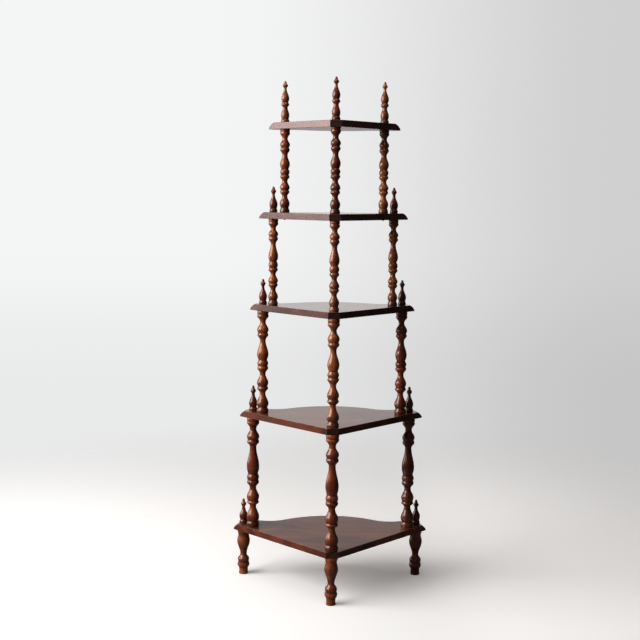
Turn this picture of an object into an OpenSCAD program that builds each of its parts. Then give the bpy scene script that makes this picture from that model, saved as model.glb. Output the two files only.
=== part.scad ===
// Five-tier corner whatnot: serpentine shelves with a moulded edge, carried on turned spindles.
// The corner post stands at the back and the serpentine edges face -Y. Lengths are in millimetres.
// The floor is z = 0, and x = 0 is the plane of symmetry.

/* [Heights] */
// Length of each leg, floor to bottom shelf
leg_h = 143; // [115:1:180]
// Length of the spindles between the bottom and fourth shelves
tier_4_h = 346; // [260:1:420]
// Length of the spindles between the fourth and third shelves
tier_3_h = 316; // [240:1:400]
// Length of the spindles between the third and second shelves
tier_2_h = 258; // [210:1:340]
// Length of the spindles between the second and top shelves
tier_1_h = 242; // [200:1:320]
// Height of the three finials on the top shelf
tall_finial_h = 120; // [100:1:150]
// Height of the side finials on the second and third shelves
short_finial_h = 76; // [64:1:95]
// Height of the side finials on the two lowest shelves
lower_finial_h = 80; // [68:1:98]
// Thickness of every shelf board
board_t = 19; // [18:0.5:25]

/* [Shelf plan] */
// Width of the bottom shelf, tip to tip: the width of the whole piece
bottom_w = 606; // [560:1:660]
// Front of the top shelf's bow, measured from the line through its two tips
bow_1 = 62; // [52:1:72]
// Front of the second shelf's bow
bow_2 = 75; // [64:1:86]
// Front of the third shelf's bow
bow_3 = 86; // [74:1:98]
// Front of the fourth shelf's bow
bow_4 = 95; // [82:1:108]
// Front of the bottom shelf's bow
bow_5 = 105; // [92:1:118]
// Post axis to the wall edge of a shelf
wall_margin = 23.5; // [21:0.5:27]
// Corner post axis to the flat that blunts each shelf's corner
corner_flat = 16.5; // [13:0.5:20]

/* [Post setback] */
// How far the first tier's side spindles stand in from the second tier's, along the wall edge
step_in_1 = 48; // [40:0.1:56]
// How far the second tier's side spindles stand in from the third tier's
step_in_2 = 44.4; // [38:0.1:52]
// How far the third tier's side spindles stand in from the fourth tier's
step_in_3 = 42.6; // [37:0.1:50]
// How far the fourth tier's side spindles stand in from the legs
step_in_4 = 43.5; // [38:0.1:50]
// How far the top shelf's wall edge runs past its side post
overhang_1 = 44.5; // [36:0.5:55]
// How far the second shelf's wall edge runs past its side post
overhang_2 = 37.5; // [30:0.5:45]
// How far the third shelf's wall edge runs past its side post
overhang_3 = 32; // [28:0.5:40]
// How far the fourth shelf's wall edge runs past its side post
overhang_4 = 35; // [28:0.5:43]
// How far the bottom shelf's wall edge runs past its side leg
overhang_5 = 21.5; // [20:0.5:30]

/* [Serpentine edge] */
// Radius of the middle bow, as a share of the shelf's half width
bow_share = 0.86; // [0.78:0.01:0.95]
// Radius of the two hollows, as a share of the shelf's half width
hollow_share = 0.235; // [0.2:0.005:0.28]
// Radius of the two end lobes, as a share of the shelf's half width
lobe_share = 0.21; // [0.205:0.005:0.24]
// Angle between the lobe's radius at the tip and the line through the tips
tip_turn = 10; // [4:1:16]
// Width and height of the moulding worked along the serpentine edge
edge_cut = 16; // [10:0.5:16]
// How full that moulding is: 0 is a plain chamfer, 1 is a quarter-round
edge_fullness = 0.35; // [0:0.05:1]

/* [Turned bodies] */
// Largest radius of the first tier's spindles, under the top shelf
body_r_1 = 14.6; // [13.4:0.1:16]
// Largest radius of the second tier's spindles
body_r_2 = 14.7; // [13.4:0.1:16]
// Largest radius of the third tier's spindles
body_r_3 = 17.5; // [16.2:0.1:19]
// Largest radius of the fourth tier's spindles
body_r_4 = 19.3; // [18.2:0.1:20.6]
// Neck radius of the first tier's spindles
neck_r_1 = 7.9; // [6.6:0.1:9.4]
// Neck radius of the second tier's spindles
neck_r_2 = 7.6; // [6.6:0.1:9.4]
// Neck radius of the third tier's spindles
neck_r_3 = 8.6; // [7.2:0.1:10.4]
// Neck radius of the fourth tier's spindles
neck_r_4 = 10; // [8.2:0.1:11.6]
// Groove radius of the first tier's spindles
groove_r_1 = 11.4; // [10.2:0.1:12.6]
// Groove radius of the second tier's spindles
groove_r_2 = 11.5; // [10.2:0.1:12.6]
// Groove radius of the third tier's spindles
groove_r_3 = 14.2; // [12.8:0.1:15.4]
// Groove radius of the fourth tier's spindles
groove_r_4 = 16.4; // [15:0.1:17.4]

/* [Turned legs and finials] */
// Largest radius of a leg, at its bulb
leg_bulb_r = 20.1; // [18.8:0.1:21.4]
// Radius of the ring and bead low on a leg
leg_ring_r = 18.6; // [17.2:0.1:20]
// Neck radius of a leg, below the bulb
leg_neck_r = 10; // [8.4:0.1:12]
// Radius of a leg's ankle, above its toe
leg_ankle_r = 13.6; // [12.4:0.1:14.2]
// Radius of the toe that stands on the floor
leg_toe_r = 14.4; // [14.2:0.1:16]
// Largest radius of a finial
finial_r = 12.3; // [11:0.1:13.6]
// Largest radius of the finials on the two lowest shelves
lower_finial_r = 13; // [11.6:0.1:14.4]
// Neck radius of a finial, under its spire
finial_neck_r = 4.2; // [3.5:0.1:5]
// Radius of the flare at the foot of a finial's spire
finial_flare_r = 8; // [6.8:0.1:9]

/* [Fixings] */
// Radius of the double-ended dowel screws that pass through the shelves
stud_r = 3; // [2.5:0.1:3.6]
// How deep a dowel screw runs into the turned pieces above and below its shelf
stud_depth = 21; // [16:0.5:24]
// Radius of the wood screws that hold the side spindles from beneath
screw_r = 2.2; // [1.8:0.1:2.8]
// How deep a wood screw runs into its spindle
screw_depth = 30; // [22:1:36]
// Radius of a wood screw's round head
screw_head_r = 4.8; // [4.2:0.1:5.6]
// Height of a wood screw's round head
screw_head_h = 2.6; // [2:0.1:3.4]
// Width of the driver slot in a screw head
slot_w = 1.2; // [0.8:0.1:1.6]
// Radial room between a fixing and its hole
hole_room = 0.1; // [0.05:0.01:0.2]
// Room between a fixing's point and the end of its hole
hole_end_room = 0.8; // [0.5:0.1:1]

/* [Hidden] */
$fn = 64;
TIERS = [1 : 4];
SHELVES = [1 : 5];
LOWER_SHELVES = [2 : 5];
SIDES = ["corner", "left", "right"];
ORDER = ["", "top", "second", "third", "fourth", "bottom"];
function shelf_name(i) = str(ORDER[i], "_shelf");
function spindle_name(side, i) = str(side, "_spindle_", i);
function leg_name(side) = str(side, "_leg");
function finial_name(side, i) = str(side, "_", ORDER[i], "_finial");

// Lists by shelf or tier number, with an unused first entry so that the numbers match
tier_h = [0, tier_1_h, tier_2_h, tier_3_h, tier_4_h];
step_in = [0, step_in_1, step_in_2, step_in_3, step_in_4];
overhang = [0, overhang_1, overhang_2, overhang_3, overhang_4, overhang_5];
bow = [0, bow_1, bow_2, bow_3, bow_4, bow_5];
body_r = [0, body_r_1, body_r_2, body_r_3, body_r_4];
neck_r = [0, neck_r_1, neck_r_2, neck_r_3, neck_r_4];
groove_r = [0, groove_r_1, groove_r_2, groove_r_3, groove_r_4];

// Height of the underside of shelf i: everything below it, added up
function under_z(i) = i == 5 ? leg_h : under_z(i + 1) + board_t + tier_h[i];
function top_z(i) = under_z(i) + board_t;

// Plan of a shelf: x runs along the front, y runs forwards from the corner post's axis. The wall edges
// meet at a right angle, so each leaves the middle line at half of one.
RIGHT_ANGLE = 90;
HALF_CORNER = RIGHT_ANGLE / 2;
DIAGONAL = sqrt(2);
wall_corner = wall_margin * DIAGONAL;
// Corner post to side post below shelf i, along the wall edge: each tier steps in from the one below
function gap(i) =
    i == 5 ? bottom_w / DIAGONAL - wall_margin - overhang[5]
    : gap(i + 1) - step_in[i];
function tip_x(i) = (gap(i) + wall_margin + overhang[i]) / DIAGONAL;
function tip(i) = [tip_x(i), tip_x(i) - wall_corner];
function bow_r(i) = bow_share * tip_x(i);
function hollow_r(i) = hollow_share * tip_x(i);
function lobe_r(i) = lobe_share * tip_x(i);
function bow_front(i) = tip(i).y + bow[i];
function bow_centre(i) = [0, bow_front(i) - bow_r(i)];
function lobe_centre(i) = tip(i) - lobe_r(i) * [cos(tip_turn), sin(tip_turn)];
// The hollow's centre lies where its circle touches the bow's and the lobe's from the front
function hollow_centre(i) =
    let (
        a = bow_centre(i), b = lobe_centre(i), line = b - a, span = norm(line),
        ra = bow_r(i) + hollow_r(i), rb = lobe_r(i) + hollow_r(i),
        along = (span * span + ra * ra - rb * rb) / (2 * span),
        off = sqrt(ra * ra - along * along)
    )
    a + (along * line + off * [-line.y, line.x]) / span;
function heading(v) = atan2(v.y, v.x);
function ray(a) = [cos(a), sin(a)];

// The whole piece is centred on its own box, so the corner post's axis stands this far back
post_back = max(leg_bulb_r, corner_flat);
front_reach = max([for (i = SHELVES) bow_front(i)]);
axis_y = (front_reach - post_back) / 2;

// Plan position of a post, in the piece's frame
function post_xy(side, spacing) =
    side == "corner" ? [0, axis_y]
    : [(side == "left" ? -1 : 1) * spacing / DIAGONAL, axis_y - spacing / DIAGONAL];

module wood() { color([0.36, 0.17, 0.10]) children(); }
module board_wood() { color([0.31, 0.15, 0.09]) children(); }
module steel() { color([0.45, 0.42, 0.38]) children(); }

// Turned profile: marks are [height, radius, sort], and the curve swells or sinks smoothly from mark to
// mark. It comes to a crease at an EDGE, and opens late, like a trumpet, on its way up from a NECK.
SWELL = "swell";
EDGE = "edge";
NECK = "neck";
TURN_STEPS = 5;
FLARE_DELAY = 1.4;
function eased(u, below, above) =
    let (v = below == NECK ? pow(u, FLARE_DELAY) : u)
    below == EDGE && above == EDGE ? v
    : below == EDGE ? sin(RIGHT_ANGLE * v)
    : above == EDGE ? 1 - cos(RIGHT_ANGLE * v)
    : (1 - cos(2 * RIGHT_ANGLE * v)) / 2;
function turned_points(marks) = [
    for (k = [0 : len(marks) - 2]) for (j = [1 : TURN_STEPS])
        let (a = marks[k], b = marks[k + 1], u = j / TURN_STEPS)
        [a[1] + (b[1] - a[1]) * eased(u, a[2], b[2]), a[0] + (b[0] - a[0]) * u]
];
module turned(marks) {
    foot = marks[0];
    head = marks[len(marks) - 1];
    rotate_extrude()
        polygon(concat(
            [[0, foot[0]], [foot[1], foot[0]]],
            turned_points(marks),
            head[1] > 0 ? [[0, head[0]]] : []
        ));
}

// Spindle pattern: places along the spindle, as shares of its length, from the foot up. It has a base
// bead, two pears with a ring over each, a pair of rings, a long vase, a ring, a pear and a top bead.
SPINDLE_PATTERN = [
    [0, "face"], [0.022, "body"], [0.055, "groove"], [0.094, "body"], [0.188, "neck"],
    [0.232, "body"], [0.256, "groove"], [0.286, "body"], [0.366, "neck"],
    [0.418, "body"], [0.442, "groove"], [0.472, "body"], [0.504, "groove"], [0.564, "body"],
    [0.704, "neck"], [0.762, "body"], [0.789, "groove"], [0.819, "body"], [0.884, "neck"],
    [0.943, "body"], [0.966, "crease"], [0.984, "body"], [1, "face"]
];
// How much smaller a turned piece is at the face that meets a shelf, and in a shallow crease
FACE_INSET = 1.2;
CREASE_INSET = 0.8;
function spindle_r(name, i) =
    name == "body" ? body_r[i]
    : name == "neck" ? neck_r[i]
    : name == "groove" ? groove_r[i]
    : name == "crease" ? body_r[i] - CREASE_INSET
    : body_r[i] - FACE_INSET;
function spindle_sort(name) = name == "neck" ? NECK : name == "body" ? SWELL : EDGE;
function spindle_marks(i) = [
    for (m = SPINDLE_PATTERN) [m[0] * tier_h[i], spindle_r(m[1], i), spindle_sort(m[1])]
];

// Hole for a dowel screw, from the end face inwards; it serves the piece above or below
module stud_socket() {
    cylinder(r = stud_r + hole_room, h = stud_depth + hole_end_room);
}
module screw_socket() {
    cylinder(r = screw_r + hole_room, h = screw_depth + hole_end_room);
}

// Spindle of tier i, standing on shelf i + 1: a dowel screw at its top, and at its foot a dowel
// screw on the corner axis or a wood screw at the sides
module spindle(side, i) {
    xy = post_xy(side, gap(i));
    wood() translate([xy.x, xy.y, top_z(i + 1)])
        difference() {
            turned(spindle_marks(i));
            if (side == "corner") stud_socket();
            else screw_socket();
            translate([0, 0, tier_h[i]]) mirror([0, 0, 1]) stud_socket();
        }
}

// Leg: toe, ankle, ring, bead, neck and a long bulb under the shelf
LEG_PATTERN = [
    [0, "toe", EDGE], [0.021, "toe", SWELL], [0.07, "ankle", SWELL], [0.115, "ankle", SWELL],
    [0.205, "ring", SWELL], [0.273, "crease", EDGE], [0.34, "ring", SWELL], [0.44, "neck", SWELL],
    [0.752, "bulb", SWELL], [0.895, "collar", SWELL], [0.972, "cap", SWELL], [1, "cap", EDGE]
];
LEG_CREASE_INSET = 1.6;
LEG_COLLAR_INSET = 3.6;
function leg_r(name) =
    name == "toe" ? leg_toe_r
    : name == "ankle" ? leg_ankle_r
    : name == "ring" ? leg_ring_r
    : name == "crease" ? leg_ring_r - LEG_CREASE_INSET
    : name == "neck" ? leg_neck_r
    : name == "bulb" ? leg_bulb_r
    : name == "collar" ? leg_bulb_r - LEG_COLLAR_INSET
    : leg_bulb_r - FACE_INSET;
module leg(side) {
    xy = post_xy(side, gap(5));
    wood() translate([xy.x, xy.y, 0])
        difference() {
            turned([for (m = LEG_PATTERN) [m[0] * leg_h, leg_r(m[1]), m[2]]]);
            translate([0, 0, leg_h]) mirror([0, 0, 1]) stud_socket();
        }
}

// Finials: a base bead, then a pear, on the tall ones a ring and a second pear, and a flared spire
TALL_PATTERN = [
    [0, "base", EDGE], [0.035, "body", SWELL], [0.08, "crease", EDGE], [0.178, "body", SWELL],
    [0.354, "waist", NECK], [0.425, "ring", SWELL], [0.485, "cove", EDGE], [0.571, "ring", SWELL],
    [0.808, "neck", NECK], [0.882, "flare", SWELL], [0.95, "spire", SWELL],
    [0.98, "point", SWELL], [1, "tip", EDGE]
];
SHORT_PATTERN = [
    [0, "base", EDGE], [0.06, "body", SWELL], [0.145, "cove", EDGE], [0.3, "body", SWELL],
    [0.669, "neck", NECK], [0.816, "flare", SWELL], [0.922, "spire", SWELL],
    [0.968, "point", SWELL], [1, "tip", EDGE]
];
LOWER_PATTERN = [
    [0, "base", EDGE], [0.085, "body", SWELL], [0.165, "cove", EDGE], [0.305, "body", SWELL],
    [0.669, "neck", NECK], [0.78, "flare", SWELL], [0.912, "spire", SWELL],
    [0.965, "point", SWELL], [1, "tip", EDGE]
];
LOWER_FROM = 4;
// Radii of a finial that follow its largest radius or its neck, as shares of it
RING_SHARE = 0.95;
CREASE_SHARE = 0.86;
COVE_SHARE = 0.76;
WAIST_SHARE = 0.57;
POINT_SHARE = 0.75;
function finial_part_r(name) =
    name == "base" ? finial_r - FACE_INSET
    : name == "body" ? finial_r
    : name == "ring" ? finial_r * RING_SHARE
    : name == "crease" ? finial_r * CREASE_SHARE
    : name == "cove" ? finial_r * COVE_SHARE
    : name == "waist" ? finial_r * WAIST_SHARE
    : name == "neck" || name == "spire" ? finial_neck_r
    : name == "flare" ? finial_flare_r
    : name == "point" ? finial_neck_r * POINT_SHARE
    : 0;
function finial_h(i) = i == 1 ? tall_finial_h : i < LOWER_FROM ? short_finial_h : lower_finial_h;
function finial_pattern(i) = i == 1 ? TALL_PATTERN : i < LOWER_FROM ? SHORT_PATTERN : LOWER_PATTERN;
module finial(side, i) {
    xy = post_xy(side, gap(i));
    h = finial_h(i);
    swell = i < LOWER_FROM ? 1 : lower_finial_r / finial_r;
    wood() translate([xy.x, xy.y, top_z(i)])
        difference() {
            turned([for (m = finial_pattern(i)) [m[0] * h, finial_part_r(m[1]) * swell, m[2]]]);
            stud_socket();
        }
}

// Steps along each arc of the serpentine edge, and down its moulding. The board is built as rings of points,
// one ring to each height.
BOW_STEPS = 13;
HOLLOW_STEPS = 11;
LOBE_STEPS = 17;
MOULDING_STEPS = 6;
function fuller(flat, round) = flat + (round - flat) * edge_fullness;
// Each ring as [distance in from the board's rim, height above its underside]
rings = concat(
    [[0, 0]],
    [for (k = [0 : MOULDING_STEPS])
        let (u = k / MOULDING_STEPS, a = RIGHT_ANGLE * u)
        [edge_cut * fuller(u, 1 - cos(a)), board_t - edge_cut + edge_cut * fuller(u, sin(a))]]
);
function arc(centre, r, from, to, steps) =
    [for (k = [1 : steps]) centre + r * ray(from + (to - from) * k / steps)];
// Angle at which a lobe of radius r runs out through the wall edge
function wall_angle(i, r) =
    let (c = lobe_centre(i), wall_gap = (c.y - c.x + wall_corner) / DIAGONAL)
    acos(min(1, wall_gap / r)) - HALF_CORNER;
// Right half of the rim at distance d in from it: half the bow, a hollow and a lobe
function half_rim(i, d) =
    let (c1 = bow_centre(i), c2 = hollow_centre(i), c3 = lobe_centre(i))
    concat(
        arc(c1, bow_r(i) - d, RIGHT_ANGLE, heading(c2 - c1), BOW_STEPS),
        arc(c2, hollow_r(i) + d, heading(c1 - c2), heading(c3 - c2), HOLLOW_STEPS),
        arc(c3, lobe_r(i) - d, heading(c2 - c3), wall_angle(i, lobe_r(i) - d), LOBE_STEPS)
    );
// Whole plan at distance d in from the rim: the wall edges and the blunt corner stay where they are
function plan(i, d) =
    let (half = half_rim(i, d), corner = [wall_corner - corner_flat, -corner_flat])
    concat(
        [bow_centre(i) + [0, bow_r(i) - d]], half, [corner, [-corner.x, corner.y]],
        [for (k = [len(half) - 1 : -1 : 0]) [-half[k].x, half[k].y]]
    );
// The flat top and underside fan out from the corner post's axis, which sees the whole rim
module board(i) {
    plans = [for (ring = rings) plan(i, ring.x)];
    n = len(plans[0]);
    last = len(rings) - 1;
    under = n * len(rings);
    top = under + 1;
    polyhedron(
        points = concat(
            [for (j = [0 : last]) for (p = plans[j]) [p.x, p.y, rings[j].y]],
            [[0, 0, 0], [0, 0, board_t]]
        ),
        faces = concat(
            [for (k = [0 : n - 1]) [under, (k + 1) % n, k]],
            [for (k = [0 : n - 1]) [top, last * n + k, last * n + (k + 1) % n]],
            [for (j = [0 : last - 1]) for (k = [0 : n - 1])
                [j * n + k, j * n + (k + 1) % n, (j + 1) * n + (k + 1) % n]],
            [for (j = [0 : last - 1]) for (k = [0 : n - 1])
                [j * n + k, (j + 1) * n + (k + 1) % n, (j + 1) * n + k]]
        )
    );
}

// Hole straight through shelf i; PAST is how far a cutter runs past the face that it cuts
PAST = 1;
module through_hole(i, xy, r) {
    translate([xy.x, xy.y, under_z(i) - PAST]) cylinder(r = r, h = board_t + 2 * PAST);
}
// Shelf i: the board with holes for the dowel screws and, below the top one, for the wood screws
module shelf(i) {
    board_wood() difference() {
        translate([0, axis_y, under_z(i)]) rotate([0, 0, 2 * RIGHT_ANGLE]) board(i);
        for (side = SIDES)
            through_hole(i, post_xy(side, gap(i)), stud_r + hole_room);
        if (i > 1)
            for (side = ["left", "right"])
                through_hole(i, post_xy(side, gap(i - 1)), screw_r + hole_room);
    }
}

// Double-ended dowel screw: a plain middle with a point at each end
STUD_POINT = 4;
POINT_R = 0.4;
module dowel_screw() {
    rotate_extrude()
        polygon([
            [0, -stud_depth], [POINT_R, -stud_depth], [stud_r, STUD_POINT - stud_depth],
            [stud_r, board_t + stud_depth - STUD_POINT], [POINT_R, board_t + stud_depth],
            [0, board_t + stud_depth]
        ]);
}
module dowel_screws() {
    steel() for (i = SHELVES) for (side = SIDES) {
        xy = post_xy(side, gap(i));
        translate([xy.x, xy.y, under_z(i)]) dowel_screw();
    }
}

// Round-headed wood screw: its slotted head bears on the shelf's underside and its point runs up
SCREW_POINT = 5;
SLOT_SHARE = 0.55;
module wood_screw() {
    dome_r = (screw_head_r * screw_head_r + screw_head_h * screw_head_h) / (2 * screw_head_h);
    in_head = screw_head_h * (1 - SLOT_SHARE) / 2;
    difference() {
        union() {
            rotate_extrude()
                polygon([
                    [0, -in_head], [screw_r, -in_head], [screw_r, board_t + screw_depth - SCREW_POINT],
                    [POINT_R, board_t + screw_depth], [0, board_t + screw_depth]
                ]);
            intersection() {
                translate([0, 0, dome_r - screw_head_h]) sphere(r = dome_r);
                translate([0, 0, -screw_head_h]) cylinder(r = screw_head_r, h = screw_head_h);
            }
        }
        translate([-screw_head_r - PAST, -slot_w / 2, -screw_head_h - PAST])
            cube([2 * (screw_head_r + PAST), slot_w, screw_head_h * SLOT_SHARE + PAST]);
    }
}
module spindle_screws() {
    steel() for (i = LOWER_SHELVES) for (side = ["left", "right"]) {
        xy = post_xy(side, gap(i - 1));
        translate([xy.x, xy.y, under_z(i)]) wood_screw();
    }
}

for (i = SHELVES)
    shelf(i);
for (i = TIERS) for (side = SIDES)
    spindle(side, i);
for (side = SIDES)
    leg(side);
for (side = SIDES)
    finial(side, 1);
for (i = LOWER_SHELVES) for (side = ["left", "right"])
    finial(side, i);
dowel_screws();
spindle_screws();
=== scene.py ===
# %% [markdown]
# # A five-tier corner whatnot
#
# The piece is Victorian in kind: five serpentine boards, twelve turned spindles, three turned legs and
# eleven finials, in walnut under a glossy polish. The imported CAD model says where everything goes, so it
# is loaded first and never moved. Each wooden piece is then made again here, with the small forms and the
# finish that a camera sees from a step away, and it stands in for its plain CAD node.

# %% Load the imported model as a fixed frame
import math

import bpy
from mathutils import Matrix, Vector


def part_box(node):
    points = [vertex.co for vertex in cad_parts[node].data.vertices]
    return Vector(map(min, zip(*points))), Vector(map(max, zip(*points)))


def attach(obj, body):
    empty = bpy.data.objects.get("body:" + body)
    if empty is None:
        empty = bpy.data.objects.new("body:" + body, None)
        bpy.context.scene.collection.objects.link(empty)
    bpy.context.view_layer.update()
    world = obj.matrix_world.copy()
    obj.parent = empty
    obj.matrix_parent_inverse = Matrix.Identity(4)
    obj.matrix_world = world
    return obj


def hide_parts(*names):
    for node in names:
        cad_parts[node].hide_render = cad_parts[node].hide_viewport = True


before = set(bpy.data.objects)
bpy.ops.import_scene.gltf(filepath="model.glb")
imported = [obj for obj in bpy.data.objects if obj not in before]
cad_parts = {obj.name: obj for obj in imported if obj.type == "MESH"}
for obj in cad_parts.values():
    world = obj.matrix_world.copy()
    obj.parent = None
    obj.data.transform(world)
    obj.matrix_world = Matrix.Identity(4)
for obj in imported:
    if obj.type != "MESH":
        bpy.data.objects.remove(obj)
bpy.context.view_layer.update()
MM = 0.001

# %% [markdown]
# ## Where the posts stand
#
# A whatnot for a corner has one post in the corner and two at the sides. Working from these boxes keeps
# every new piece on the piece that carries it.

# %% Axes and heights of the turned pieces
SIDES = ("corner", "left", "right")
ORDER = {1: "top", 2: "second", 3: "third", 4: "fourth", 5: "bottom"}


def foot_of(node):
    """The middle of a round node's foot."""
    low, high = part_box(node)
    return Vector(((low.x + high.x) / 2, (low.y + high.y) / 2, low.z))


corner_axis = foot_of("corner_leg")
print("corner post axis at y =", round(corner_axis.y, 4))

# %% [markdown]
# ## The camera
#
# The photograph was taken from behind, at about chest height, from a little over three metres away. A
# camera looks along its own -Z, so a quaternion that tracks -Z aims it, and a turn about that same axis
# gives the half degree by which the photograph leans. The focal length follows from the size of the
# piece in the picture.

# %% Camera at the photograph's viewpoint
PHOTO_WIDTH = 640
LENS = 63.78
SENSOR = 36
STAND_BACK = 3.2052
EYE_SIDE = 0.0715
EYE_HEIGHT = 1.2038
PAN = math.radians(0.574)
TILT = math.radians(6.506)
LEAN = math.radians(0.542)

eye = Vector((EYE_SIDE, corner_axis.y + STAND_BACK, EYE_HEIGHT))
gaze = Vector((-math.sin(PAN) * math.cos(TILT), -math.cos(PAN) * math.cos(TILT), -math.sin(TILT)))
camera_data = bpy.data.cameras.new("viewpoint")
camera_data.lens = LENS
camera_data.sensor_width = SENSOR
camera = bpy.data.objects.new("viewpoint", camera_data)
bpy.context.scene.collection.objects.link(camera)
camera.matrix_world = (
    Matrix.Translation(eye)
    @ gaze.to_track_quat("-Z", "Y").to_matrix().to_4x4()
    @ Matrix.Rotation(LEAN, 4, "Z")
)
bpy.context.scene.camera = camera


def pixel(place):
    """Where a point lands in the 640 x 640 picture."""
    seen = camera.matrix_world.inverted() @ place
    scale = PHOTO_WIDTH * LENS / SENSOR / -seen.z
    return round(PHOTO_WIDTH / 2 + seen.x * scale, 1), round(PHOTO_WIDTH / 2 - seen.y * scale, 1)


print("corner foot at pixel", pixel(corner_axis), "and side feet at",
      pixel(foot_of("left_leg")), pixel(foot_of("right_leg")))

# %% [markdown]
# ## Selecting before modelling
#
# An operator acts on everything that is selected, and loading leaves the CAD nodes selected. So a new
# piece starts with nothing selected. Outlines are drawn as by hand: one vertex is put at a place, then
# pulled along or swept about a centre, and each pull leaves the new end selected for the next.

# %% Helpers to start and to finish a piece
MERGE_WITHIN = 0.01 * MM


def clear_selection():
    """Leave edit mode and select nothing."""
    if bpy.context.object and bpy.context.object.mode != "OBJECT":
        bpy.ops.object.mode_set(mode="OBJECT")
    bpy.ops.object.select_all(action="DESELECT")


def start_outline(name, place):
    """A new piece that is one selected vertex, open in edit mode."""
    clear_selection()
    bpy.ops.mesh.primitive_plane_add(size=MM, location=place)
    piece = bpy.context.object
    piece.name = name
    bpy.ops.object.transform_apply(location=True, rotation=False, scale=False)
    bpy.ops.object.mode_set(mode="EDIT")
    bpy.ops.mesh.merge(type="CENTER")
    return piece


def pull(x=0.0, y=0.0, z=0.0):
    """Extrude what is selected by an offset."""
    bpy.ops.mesh.extrude_region_move(TRANSFORM_OT_translate={"value": (x, y, z)})


def close_shell():
    """Merge the seams and turn every face outwards, then leave edit mode."""
    bpy.ops.mesh.select_all(action="SELECT")
    bpy.ops.mesh.remove_doubles(threshold=MERGE_WITHIN)
    bpy.ops.mesh.normals_make_consistent(inside=False)
    bpy.ops.object.mode_set(mode="OBJECT")


# %% [markdown]
# ## How a turner works
#
# A spindle is turned from a square blank, between centres. The turner marks the blank from a story
# stick, a rod that carries the height of every bead and hollow, and cuts each to a caliper's width. The
# same is done here: a list of marks gives heights and radii, and the curve between two marks either
# swells like a bead, stops at an edge, or opens like a trumpet on its way up from a neck. Balls and cones
# could be stacked instead, but they would meet in seams. One outline is pulled up from a vertex on the
# axis, and Spin carries it round, which is what a lathe does.

# %% The curve between two marks of a story stick
SWELL, EDGE, NECK = "swell", "edge", "neck"
TRUMPET = 1.4
CURVE_STEP = 1.3
FEWEST_STEPS = 3
MOST_STEPS = 14


def eased(share, below, above):
    """How far a curve has opened, from 0 at the lower mark to 1 at the upper one."""
    late = share ** TRUMPET if below == NECK else share
    if below == EDGE and above == EDGE:
        return late
    if below == EDGE:
        return math.sin(math.pi / 2 * late)
    if above == EDGE:
        return 1 - math.cos(math.pi / 2 * late)
    return (1 - math.cos(math.pi * late)) / 2


def profile(marks):
    """Points (height, radius) up the outline, closer together where it turns quickly."""
    points = [(marks[0][0], marks[0][1])]
    for (low, wide, below), (high, next_wide, above) in zip(marks, marks[1:]):
        run = math.hypot(high - low, next_wide - wide)
        steps = min(MOST_STEPS, max(FEWEST_STEPS, round(run / CURVE_STEP)))
        for step in range(1, steps + 1):
            share = step / steps
            radius = wide + (next_wide - wide) * eased(share, below, above)
            points.append((low + (high - low) * share, radius))
    return points


# %% Turn one piece on the lathe
FLATS = 48
SMOOTH_BELOW = math.radians(38)
# Millimetres over which a crease and a foot are dark, and the foot's share of a short turning
CREASE_REACH = 1.6
FOOT_REACH = 36
FOOT_SHARE = 0.14


def turn(name, marks, foot):
    """A solid of revolution on a foot: its outline is pulled from the axis, then spun."""
    piece = start_outline(name, foot)
    height = radius = 0
    points = profile(marks)
    if points[-1][1] > 0:
        points.append((points[-1][0], 0))
    for next_height, next_radius in points:
        if (next_height, next_radius) == (height, radius):
            continue
        pull(x=(next_radius - radius) * MM, z=(next_height - height) * MM)
        height, radius = next_height, next_radius
    bpy.ops.mesh.select_all(action="SELECT")
    bpy.ops.mesh.spin(steps=FLATS, angle=math.tau, center=foot, axis=(0, 0, 1))
    close_shell()
    bpy.ops.object.shade_smooth_by_angle(angle=SMOOTH_BELOW)
    note_creases(piece, marks, foot)
    print(name, "has", len(piece.data.polygons), "faces")
    return piece


def note_creases(piece, marks, foot):
    """Store how near each point is to a crease, and how much painted shade, with deeper stain, lies near
    the foot.
    """
    creases = [height for height, radius, sort in marks[1:-1] if sort == EDGE]
    in_crease = piece.data.attributes.new("crease", "FLOAT", "POINT")
    # The second layer holds painted shade towards the foot, where the turning stands on a board, with
    # deeper stain there
    stained = piece.data.attributes.new("shade_and_stain", "FLOAT", "POINT")
    reach = min(FOOT_REACH, FOOT_SHARE * marks[-1][0])
    for vertex, crease_value, shade_and_stain in zip(piece.data.vertices, in_crease.data, stained.data):
        height = (vertex.co.z - foot.z) / MM
        nearest = min((abs(height - crease) for crease in creases), default=math.inf)
        # Painted shade with dark old polish near each crease
        crease_value.value = math.exp(-(nearest / CREASE_REACH) ** 2)
        shade_and_stain.value = math.exp(-(height / reach) ** 2)


# %% [markdown]
# ## Spindles, a different one for each tier
#
# All four tiers share one pattern: a base bead, a pear, a ring over a trumpet, a smaller pear, a pair of
# rings, a long vase, a ring, a pear and a top bead. The lengths differ, and so does the turner's spacing,
# so each tier has its own story stick. Each spindle is turned once in the corner and copied to the sides,
# because the three of a tier were turned as a set.

# %% Story sticks of the four tiers, in millimetres from the foot
SPINDLE_FORMS = (
    "bead", "groove", "pear", "neck", "ring", "groove", "pear", "neck", "ring", "groove",
    "ring", "cove", "vase", "neck", "ring", "groove", "pear", "neck", "bead", "crease",
)
STICKS = {
    1: (3, 14, 26.5, 47, 60, 66, 73, 91, 104, 110, 118.5, 127, 141, 166, 182, 189, 197.5, 213.5, 230, 235),
    2: (5, 15, 26, 46, 61, 66, 73, 92, 106, 112, 121, 131, 145, 182, 198, 205, 212, 228, 243, 249),
    3: (6, 18, 29, 61, 76, 83, 94, 120, 139, 146, 153, 164, 182, 222, 241, 247, 257, 279, 298, 304),
    4: (8, 18, 30.5, 65, 77, 83, 95, 123, 140, 148, 157, 167, 191, 251, 268, 275.5, 285.5, 308, 328.5, 334),
}
TIER_HEIGHT = {1: 242, 2: 258, 3: 316, 4: 346}
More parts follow.
